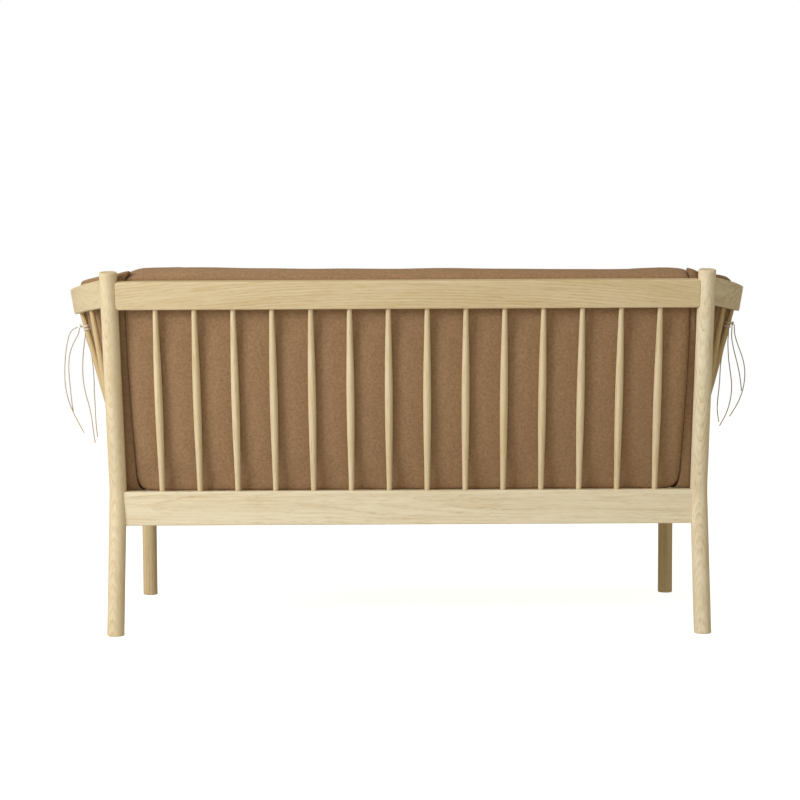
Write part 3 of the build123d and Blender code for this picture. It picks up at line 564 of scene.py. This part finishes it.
# Laces: thickness, length and route as in the part's source, each from its knot to its bare end
lace_radius = 0.00115
lace_routes = {
    "lace_left_1": (0.2586, [
        (0.747472, -0.000744, 0.654772), (0.755886, 0.003180, 0.651058),
        (0.764, 0.004, 0.642), (0.769, 0.005, 0.625), (0.7725, 0.006, 0.603), (0.775, 0.006, 0.578),
        (0.776, 0.006, 0.552), (0.775, 0.006, 0.526), (0.771, 0.005, 0.500), (0.7635, 0.005, 0.476),
        (0.754, 0.004, 0.455), (0.744, 0.004, 0.435), (0.733, 0.004, 0.415)]),
    "lace_left_2": (0.1960, [
        (0.743782, -0.002464, 0.6536), (0.743782, -0.002464, 0.6436),
        (0.751, 0.001, 0.629), (0.760, 0.003, 0.611), (0.766, 0.004, 0.589), (0.7675, 0.004, 0.564),
        (0.766, 0.003, 0.538), (0.7635, 0.002, 0.512), (0.7615, 0.002, 0.487), (0.7575, 0.002, 0.463)]),
    "lace_left_3": (0.2591, [
        (0.734707, -0.024022, 0.6466), (0.734707, -0.024022, 0.6366),
        (0.7375, -0.027, 0.621), (0.7405, -0.028, 0.598), (0.742, -0.028, 0.572), (0.742, -0.028, 0.546),
        (0.739, -0.027, 0.520), (0.733, -0.027, 0.495), (0.7255, -0.026, 0.470), (0.721, -0.026, 0.444),
        (0.718, -0.027, 0.417), (0.714, -0.027, 0.391)]),
    "lace_left_4": (0.2453, [
        (0.73251, -0.019309, 0.6466), (0.73251, -0.019309, 0.6366),
        (0.730, -0.023, 0.622), (0.7235, -0.026, 0.603), (0.7195, -0.028, 0.579), (0.7175, -0.029, 0.554),
        (0.716, -0.029, 0.528), (0.7158, -0.028, 0.503), (0.7138, -0.028, 0.478), (0.7133, -0.029, 0.453),
        (0.712, -0.030, 0.428), (0.709, -0.030, 0.404)]),
    "lace_right_1": (0.2197, [
        (-0.742966, -0.002845, 0.6536), (-0.742966, -0.002845, 0.6436),
        (-0.744, -0.002, 0.628), (-0.7495, 0.000, 0.609), (-0.757, 0.002, 0.588), (-0.7635, 0.003, 0.565),
        (-0.7655, 0.003, 0.541), (-0.763, 0.003, 0.516), (-0.756, 0.002, 0.491), (-0.745, 0.001, 0.467),
        (-0.730, 0.001, 0.445)]),
    "lace_right_2": (0.1529, [
        (-0.738254, -0.005042, 0.6536), (-0.738254, -0.005042, 0.6436),
        (-0.7365, -0.005, 0.627), (-0.7395, -0.004, 0.607), (-0.744, -0.003, 0.586), (-0.7495, -0.003, 0.565),
        (-0.754, -0.004, 0.544), (-0.757, -0.004, 0.523), (-0.759, -0.005, 0.503)]),
    "lace_right_3": (0.2299, [
        (-0.734707, -0.024022, 0.6466), (-0.734707, -0.024022, 0.6366),
        (-0.733, -0.026, 0.620), (-0.7335, -0.027, 0.597), (-0.735, -0.027, 0.571), (-0.7385, -0.026, 0.545),
        (-0.7415, -0.026, 0.519), (-0.7405, -0.027, 0.493), (-0.735, -0.027, 0.468), (-0.7255, -0.026, 0.444),
        (-0.713, -0.026, 0.423)]),
    "lace_right_4": (0.2178, [
        (-0.73251, -0.019309, 0.6466), (-0.73251, -0.019309, 0.6366),
        (-0.7285, -0.023, 0.620), (-0.723, -0.026, 0.600), (-0.718, -0.028, 0.576), (-0.7155, -0.029, 0.550),
        (-0.7145, -0.029, 0.524), (-0.7115, -0.028, 0.499), (-0.7085, -0.028, 0.475),
        (-0.7083, -0.029, 0.452), (-0.7125, -0.030, 0.432)]),
}


def add_spline(curve, points, cyclic):
    spline = curve.splines.new("NURBS")
    spline.points.add(len(points) - 1)
    for control, place in zip(spline.points, points):
        control.co = (*place, 1)
    spline.order_u = 3
    spline.use_endpoint_u = not cyclic
    spline.use_cyclic_u = cyclic
    spline.resolution_u = 8


def lace_curve(name, points, cyclic=False):
    """A tube of lace along a smooth curve with these control points."""
    curve = bpy.data.curves.new(name, "CURVE")
    curve.dimensions = "3D"
    curve.bevel_depth = lace_radius
    curve.bevel_resolution = 3
    curve.use_fill_caps = True
    add_spline(curve, points, cyclic)
    piece = bpy.data.objects.new(name, curve)
    bpy.context.collection.objects.link(piece)
    return piece


def make_laces(material):
    for node_name, (length, route) in lace_routes.items():
        piece = lace_curve(f"{node_name}_tail", route)
        piece.data.materials.append(material)
        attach(piece, "frame")
        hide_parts(node_name)


# Ties: the place on the foremost arm spindle, the side, and the knot: the bearing in degrees that it faces,
# how much it drops and how far out it sits
ties = {
    "tie_left_outer": ((0.72938, -0.00822, 0.657), 1, (25, 0.4, 0.014)),
    "tie_left_inner": ((0.72740, -0.00825, 0.650), 1, (-65, 0, 0.014)),
    "tie_right_outer": ((-0.72938, -0.00822, 0.657), -1, (25, 0, 0.012)),
    "tie_right_inner": ((-0.72740, -0.00825, 0.650), -1, (-65, 0, 0.014)),
}
tie_turn_pitch = 0.0024
tie_ring_radius = 0.0076
ring_steps = 12
spindle_lean = 0.285
knot_steps = 30
knot_scale = 0.00125
knot_depth = 1.4
knot_inset = 0.001
stem_inset = 0.003


def knot_line(middle, way, across, rise):
    """A small overhand knot: a trefoil of lace whose flat side faces along the way."""
    points = []
    for step in range(knot_steps):
        turn = 2 * math.pi * step / knot_steps
        wide = math.sin(turn) + 2 * math.sin(2 * turn)
        high = math.cos(turn) - 2 * math.cos(2 * turn)
        deep = -knot_depth * math.sin(3 * turn)
        points.append(middle + (across * wide + rise * high + way * deep) * knot_scale)
    return points


def ring_line(middle, way, across):
    """One turn of lace round a spindle."""
    turns = [2 * math.pi * step / ring_steps for step in range(ring_steps)]
    return [middle + (way * math.cos(turn) + across * math.sin(turn)) * tie_ring_radius for turn in turns]


def make_tie(node_name, place, side, knot, material):
    """A knot of lace, its two turns round the spindle and the stem between them."""
    bearing, drop, reach = knot
    turn = math.radians(bearing)
    level_way = Vector((side * math.cos(turn), math.sin(turn), 0))
    outward = (level_way - Vector((0, 0, drop))).normalized()
    middle = place + level_way * reach
    across = outward.cross(Vector((0, 0, 1))).normalized()
    rise = across.cross(outward)
    spindle = Vector((side * spindle_lean, 0, 1)).normalized()
    tangent = spindle.cross(level_way).normalized()
    inward = tangent.cross(spindle)
    line = knot_line(middle - outward * knot_inset, outward, across, rise)
    piece = lace_curve(f"{node_name}_knot", line, True)
    for shift in (-0.5, 0.5):
        ring = ring_line(place + spindle * tie_turn_pitch * shift, inward, tangent)
        add_spline(piece.data, ring, True)
    stem = [place + inward * tie_ring_radius, middle - outward * stem_inset, middle]
    add_spline(piece.data, stem, False)
    piece.data.materials.append(material)
    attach(piece, "frame")
    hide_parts(node_name)


def make_ties(material):
    for node_name, (place, side, knot) in ties.items():
        make_tie(node_name, Vector(place), side, knot, material)


# Cushions: the size of the mesh, how it is smoothed and drawn in before it swells, and how far it may swell
voxel = 0.006
smooth_rounds = 5
draw_in = 0.003
back_swell = 0.007
seat_swell = 0.009
side_voxel = 0.004
side_smooth_rounds = 3
side_draw_in = 0.0005
side_swell = 0.003

# Cloth, and which of it is held still: the ranges of how squarely it faces the back, the rear, a side and
# the deck
cloth_frames = 12
least_move = 1e-9
cloth_settings = {
    "quality": 4,
    "mass": 0.3,
    "tension_stiffness": 12,
    "compression_stiffness": 12,
    "shear_stiffness": 6,
    "bending_stiffness": 0.6,
    "use_pressure": True,
    "uniform_pressure_force": 4.0,
}
back_hold_range = (0.25, 0.6)
rear_hold_range = (0.5, 0.8)
side_hold_range = (0.6, 0.8)
deck_hold_range = (0.4, 0.8)

# Filling: its dents and swellings, and how high its weight presses the foot square
dent_size = 0.11
dent_height = 0.0012
side_dent_height = 0.0008
dent_shift = (5.3, 2.9, 7.1)
filling_seeds = {"back_cushion": 1, "seat_cushion": 2, "side_cushion_left": 3, "side_cushion_right": 4}
foot_press = 0.026

# Seams: how deep and wide the cloth dips, and how wide the dark stitch line with its painted crease shade
# looks
seam_depth = 0.0022
seam_width = 0.0045
seam_line = 0.0014

# The gap that loose cushions keep from what they touch
rest_gap = 0.001


def bake_modifiers(piece):
    """Applies the piece's modifiers to its mesh."""
    bpy.context.view_layer.update()
    graph = bpy.context.evaluated_depsgraph_get()
    mesh = bpy.data.meshes.new_from_object(piece.evaluated_get(graph))
    piece.modifiers.clear()
    old = piece.data
    piece.data = mesh
    bpy.data.meshes.remove(old)


def vertex_array(mesh, field="co"):
    values = np.empty(len(mesh.vertices) * 3)
    mesh.vertices.foreach_get(field, values)
    return values.reshape(-1, 3)


def set_vertices(mesh, places):
    mesh.vertices.foreach_set("co", np.ascontiguousarray(places).ravel())
    mesh.update()


def hump(values, middle, width):
    return np.exp(-(((values - middle) / width) ** 2))


def ramp(values, low, high):
    share = np.clip((values - low) / (high - low), 0, 1)
    return share * share * (3 - 2 * share)


def soft_base(node_name, size, rounds, inset):
    """A remeshed copy of a soft CAD solid, drawn in a little so that it can swell."""
    piece = bpy.data.objects.new(f"{node_name}_cover", nodes[node_name].data.copy())
    bpy.context.collection.objects.link(piece)
    remesh = piece.modifiers.new("remesh", "REMESH")
    remesh.mode = "VOXEL"
    remesh.voxel_size = size
    smooth = piece.modifiers.new("smooth", "SMOOTH")
    smooth.iterations = rounds
    bake_modifiers(piece)
    set_vertices(piece.data, vertex_array(piece.data) - inset * vertex_array(piece.data, "normal"))
    return piece


def settle(piece, held, cap):
    """Inflates the piece as cloth. held gives the pinned share of each vertex; none moves past the cap."""
    start = vertex_array(piece.data)
    group = piece.vertex_groups.new(name="held")
    shares = held(start, vertex_array(piece.data, "normal"))
    for level in np.unique(shares[shares > 0].round(1)):
        group.add(np.flatnonzero(shares.round(1) == level).tolist(), float(level), "REPLACE")
    cloth = piece.modifiers.new("cloth", "CLOTH")
    for key, value in cloth_settings.items():
        setattr(cloth.settings, key, value)
    cloth.settings.effector_weights.gravity = 0
    cloth.settings.vertex_group_mass = "held"
    cloth.point_cache.frame_end = cloth_frames
    for step in range(1, cloth_frames + 1):
        bpy.context.scene.frame_set(step)
    bake_modifiers(piece)
    bpy.context.scene.frame_set(1)
    move = vertex_array(piece.data) - start
    far = np.linalg.norm(move, axis=1, keepdims=True)
    set_vertices(piece.data, start + move * np.minimum(1, cap / np.maximum(far, least_move)))


def refit(places, node_name, way, spare=0.0):
    """Stretches the places along a way until they reach as far as the CAD solid does, less the spare."""
    way = np.array(way)
    solid = vertex_array(nodes[node_name].data) @ way
    own = places @ way
    low, high = solid.min() + spare, solid.max() - spare
    places += np.outer(np.interp(own, (own.min(), own.max()), (low, high)) - own, way)


def unevenness(places, seed, height=dent_height):
    """Slow dents and swellings of the filling, in metres."""
    shift = Vector([seed * way for way in dent_shift])
    return np.array([noise.noise(Vector(place) / dent_size + shift) for place in places])[:, None] * height


def sew_seam(mesh, distance):
    """Sinks the cloth towards the seam, this far from each vertex, and marks the stitches, which the wool
    paints dark with painted crease shade.
    """
    normals = vertex_array(mesh, "normal")
    set_vertices(mesh, vertex_array(mesh) - normals * (seam_depth * hump(distance, 0, seam_width))[:, None])
    seam = mesh.attributes.new("seam", "FLOAT", "POINT")
    seam.data.foreach_set("value", hump(distance, 0, seam_line))


def finish_cushion(piece, node_name, material, body, seam_distance=None):
    """Divides the mesh, sews the seam where there is one and gives the cushion its cloth."""
    divide = piece.modifiers.new("divide", "SUBSURF")
    divide.levels = divide.render_levels = 1
    bake_modifiers(piece)
    if seam_distance:
        sew_seam(piece.data, seam_distance(vertex_array(piece.data)))
    piece.data.shade_smooth()
    piece.data.materials.clear()
    piece.data.materials.append(material)
    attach(piece, body)
    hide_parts(node_name)


def stand_on(places, level):
    """Squares off the lower edge, as the filling's weight presses it on the deck."""
    above = np.maximum(places[:, 2] - level, 0)
    places[:, 2] = level + np.where(above < foot_press, above * above / foot_press, above)


# Back cushion: its ends draw in towards the foot and round off there
end_overfill = 0.006
end_round = 0.034
foot_draw_in = 0.010
foot_draw_below = 0.05
foot_draw_power = 1.5

# Its back bulges between the spindles
bulge_height = 0.0035
bulge_facing_range = (0.5, 0.9)
bulge_foot_range = (0.32, 0.38)
bulge_head_range = (0.60, 0.66)

# Its top stands higher to the left and dips before the right end, as filled and worn in the photograph.
# A hump is given by its middle and its width
top_range = (0.68, 0.75)
top_rise = 0.0025
left_rise = 0.006
left_rise_range = (0.15, 0.52)
left_corner_drop = 0.005
left_corner_range = (0.55, 0.59)
right_crown = 0.002
right_crown_hump = (-0.54, 0.05)
right_dip = 0.0025
right_dip_hump = (-0.33, 0.16)
facing_up = 0.9


def towards_back(places):
    """How far each place is to the back, square to the raked back."""
    return places @ rake_back


def foot_draw(heights):
    """How far the back cushion's ends draw in towards its foot, where the side cushions fill the room."""
    low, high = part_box("back_cushion")
    return foot_draw_in * (1 - ramp(heights, low[2] - foot_draw_below, high[2])) ** foot_draw_power


def corner_room(past):
    """The room beside a round corner of the back cushion, this far past the start of its curve."""
    past = np.clip(past, 0, end_round)
    return end_round - np.sqrt(end_round**2 - past**2)


def back_bulge(places, normals):
    """How far the back cushion bulges between the spindles."""
    bulge = 0.5 + 0.5 * np.cos(2 * math.pi * places[:, 0] / spindle_pitch)
    bulge *= ramp(normals[:, 1], *bulge_facing_range) * ramp(places[:, 2], *bulge_foot_range)
    return bulge_height * bulge * (1 - ramp(places[:, 2], *bulge_head_range))


def top_line(x):
    """How far the back cushion's top stands above that of its CAD solid."""
    lift = top_rise + left_rise * ramp(x, *left_rise_range) - left_corner_drop * ramp(x, *left_corner_range)
    return lift + right_crown * hump(x, *right_crown_hump) - right_dip * hump(x, *right_dip_hump)


def shape_back_cushion(piece):
    """Fits the swollen cushion to its CAD solid's reach, and shapes its back, top and ends."""
    low, high = (Vector(corner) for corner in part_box("back_cushion"))
    places = vertex_array(piece.data)
    normals = vertex_array(piece.data, "normal")
    refit(places, "back_cushion", rake_up)
    refit(places, "back_cushion", rake_back)
    refit(places, "back_cushion", (1, 0, 0), -end_overfill)
    x = places[:, 0].copy()
    places[:, 1] += back_bulge(places, normals)
    places += normals * unevenness(places, filling_seeds["back_cushion"])
    places[:, 2] += ramp(places[:, 2], *top_range) * top_line(x)
    places[:, 0] = np.clip(x, low.x + rest_gap, high.x - rest_gap)
    corner = corner_room(low.z + end_round - places[:, 2])
    places[:, 0] *= 1 - (foot_draw(places[:, 2]) + corner) / high.x
    stand_on(places, low.z)
    set_vertices(piece.data, places)


def make_back_cushion():
    piece = soft_base("back_cushion", voxel, smooth_rounds, draw_in)

    def held(places, normals):
        against_spindles = ramp(towards_back(normals), *back_hold_range)
        return np.maximum(against_spindles, ramp(-normals[:, 2], *deck_hold_range))

    settle(piece, held, back_swell)
    top = vertex_array(piece.data, "normal")[:, 2] > facing_up
    shape_back_cushion(piece)
    seam_place = towards_back(vertex_array(piece.data)[top]).mean()

    def seam_distance(places):
        return towards_back(places) - seam_place

    cloth = wool("wool_back_cushion", filling_seeds["back_cushion"])
    finish_cushion(piece, "back_cushion", cloth, "back_cushion", seam_distance)
    return piece


# Seat cushion: how high its seam runs, as a share of its height
seat_seam_share = 0.45


def shape_seat_cushion(piece):
    """Fits the swollen cushion to its CAD solid's reach, and keeps it off its neighbours."""
    low, high = (Vector(corner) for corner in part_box("seat_cushion"))
    places = vertex_array(piece.data)
    for way in ((1, 0, 0), (0, 1, 0), (0, 0, 1)):
        refit(places, "seat_cushion", way, rest_gap / 2)
    places += vertex_array(piece.data, "normal") * unevenness(places, filling_seeds["seat_cushion"])
    places[:, 0] = np.clip(places[:, 0], low.x + rest_gap, high.x - rest_gap)
    places[:, 1] = np.minimum(places[:, 1], high.y)
    stand_on(places, low.z)
    set_vertices(piece.data, places)


def make_seat_cushion():
    piece = soft_base("seat_cushion", voxel, smooth_rounds, draw_in)

    def held(places, normals):
        at_rear = ramp(normals[:, 1], *rear_hold_range)
        return np.maximum(at_rear, ramp(-normals[:, 2], *deck_hold_range))

    settle(piece, held, seat_swell)
    shape_seat_cushion(piece)
    low, high = (Vector(corner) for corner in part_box("seat_cushion"))
    seam_place = low.z + (high.z - low.z) * seat_seam_share

    def seam_distance(places):
        return places[:, 2] - seam_place

    cloth = wool("wool_seat_cushion", filling_seeds["seat_cushion"])
    finish_cushion(piece, "seat_cushion", cloth, "seat_cushion", seam_distance)


# Side cushions: their inner faces lie against the ends of the seat cushion and, behind it, follow the back
# cushion's ends as they draw in
inner_limit = 0.5885
touch_range = (inner_limit + 0.002, inner_limit + 0.008)
facing_range = (0.1, 0.5)
by_the_back_range = (0.108, 0.138)
corner_fill = 0.85
rear_length = 0.06
rear_draw_in = 0.012

# Below the arm they swell towards its spindles: heights, the share at each, and where it ends at the back
gap_fill = 0.011
gap_fill_heights = (0.48, 0.58, 0.69, 0.70, 0.745)
gap_fill_shares = (0, 1, 0.85, 0.6, 0.15)
gap_fill_end_range = (0.04, 0.13)

# Heads: how far they sink at the front, the middle and the post end of the arm, where the front corner
# starts to fall and how far, and how far the ear beside the back cushion rises and leans over it
head_range = (0.69, 0.745)
head_stations = (-0.05, 0.07, 0.30)
head_corner_length = 0.016
head_corner_range = (-0.02, 0.02)
heads = {
    "left": {
        "sinks": (-0.001, -0.001, 0.004), "corner_start": 0.736, "corner_fall": 0.016,
        "ear_rise": 0.003, "ear_lean": 0.018,
    },
    "right": {
        "sinks": (0.006, 0.0, 0.006), "corner_start": 0.718, "corner_fall": 0.014,
        "ear_rise": 0.0045, "ear_lean": 0.014,
    },
}

# Ears: their outer edge and width, where they start towards the back, and their lean by height
ear_edge = 0.612
ear_width = 0.0235
ear_range = (0.22, 0.27)
ear_lean_heights = (0.72, 0.745, 0.762)
ear_lean_shares = (0, 0.3, 1)

# How far out and how deep an ear is looked for inside the back cushion
press_limit = 0.61
press_reach = 0.03


def shape_head(places, out, ear, head):
    """Sinks the top of a side cushion along the arm, but for the ear beside the back cushion."""
    sink = np.interp(places[:, 1], head_stations, head["sinks"])
    corner = ramp(out, head["corner_start"], head["corner_start"] + head_corner_length)
    sink += head["corner_fall"] * corner * (1 - ramp(places[:, 1], *head_corner_range))
    places[:, 2] += ramp(places[:, 2], *head_range) * (ear * head["ear_rise"] - (1 - ear) * sink)


def fill_arm_gap(places, facing_out):
    """How far a side cushion swells towards the arm spindles, below the arm."""
    swell = np.interp(places[:, 2], gap_fill_heights, gap_fill_shares)
    return facing_out * gap_fill * swell * (1 - ramp(places[:, 1], *gap_fill_end_range))


def press_on(places, neighbour, side):
    """Moves places that run into the neighbour outwards, until they lie on its end."""
    tree = BVHTree.FromObject(neighbour, bpy.context.evaluated_depsgraph_get())
    outward = Vector((side, 0, 0))
    for index in np.flatnonzero(np.abs(places[:, 0]) < press_limit):
        hit, normal, _, depth = tree.ray_cast(Vector(places[index]), outward, press_reach)
        if hit is not None and normal.x * side > 0:
            places[index, 0] += side * (depth + rest_gap)


def shape_sides(places, normals, side, head, foot_level):
    """Shapes a side cushion's inner and outer faces and its head."""
    out = side * places[:, 0]
    facing_in = ramp(-side * normals[:, 0], *facing_range)
    touching = facing_in * (1 - ramp(out, *touch_range))
    out += touching * (inner_limit - out)
    by_the_back = ramp(places[:, 1], *by_the_back_range)
    foot_room = foot_draw(places[:, 2]) + corner_fill * corner_room(foot_level + end_round - places[:, 2])
    ear = np.clip((ear_edge - out) / ear_width, 0, 1) * ramp(places[:, 1], *ear_range)
    ear_lean = head["ear_lean"] * np.interp(places[:, 2], ear_lean_heights, ear_lean_shares)
    out = np.maximum(out, inner_limit) - facing_in * by_the_back * foot_room - ear * ear_lean
    facing_out = ramp(side * normals[:, 0], *facing_range)
    places[:, 0] = side * (out + fill_arm_gap(places, facing_out))
    shape_head(places, out, ear, head)


def shape_side_cushion(piece, node_name, side, head, back_cushion):
    """Fits the swollen cushion to its CAD solid's reach, and shapes it to its neighbours."""
    foot_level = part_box(node_name)[0][2]
    places = vertex_array(piece.data)
    normals = vertex_array(piece.data, "normal")
    for way in ((0, 1, 0), (0, 0, 1)):
        refit(places, node_name, way)
    places += normals * unevenness(places, filling_seeds[node_name], side_dent_height)
    shape_sides(places, normals, side, head, foot_level)
    backs = towards_back(places)
    places[:, 1] -= rear_draw_in * ramp(backs, backs.max() - rear_length, backs.max())
    press_on(places, back_cushion, side)
    stand_on(places, foot_level)
    set_vertices(piece.data, places)


def make_side_cushion(side_name, side, back_cushion):
    node_name = f"side_cushion_{side_name}"
    piece = soft_base(node_name, side_voxel, side_smooth_rounds, side_draw_in)

    def held(places, normals):
        on_faces = ramp(np.abs(normals[:, 0]), *side_hold_range)
        return np.maximum(on_faces, ramp(-normals[:, 2], *deck_hold_range))

    settle(piece, held, side_swell)
    shape_side_cushion(piece, node_name, side, heads[side_name], back_cushion)
    finish_cushion(piece, node_name, wool(f"wool_{node_name}", filling_seeds[node_name]), "frame")


make_camera()
make_sky()
make_floor()
for lamp_name, lamp in lamps.items():
    make_light(lamp_name, *lamp)
bpy.context.scene.view_settings.view_transform = "Standard"

dress_frame()
# One lace leather: painted darker on the hanging laces as painted shade, and paler on the knots as painted
# light
make_laces(leather("lace_leather_painted_shade", *lace_painted_shade_tones))
make_ties(leather("tie_leather_painted_light", *tie_painted_light_tones))
made_back_cushion = make_back_cushion()
make_seat_cushion()
make_side_cushion("left", 1, made_back_cushion)
make_side_cushion("right", -1, made_back_cushion)
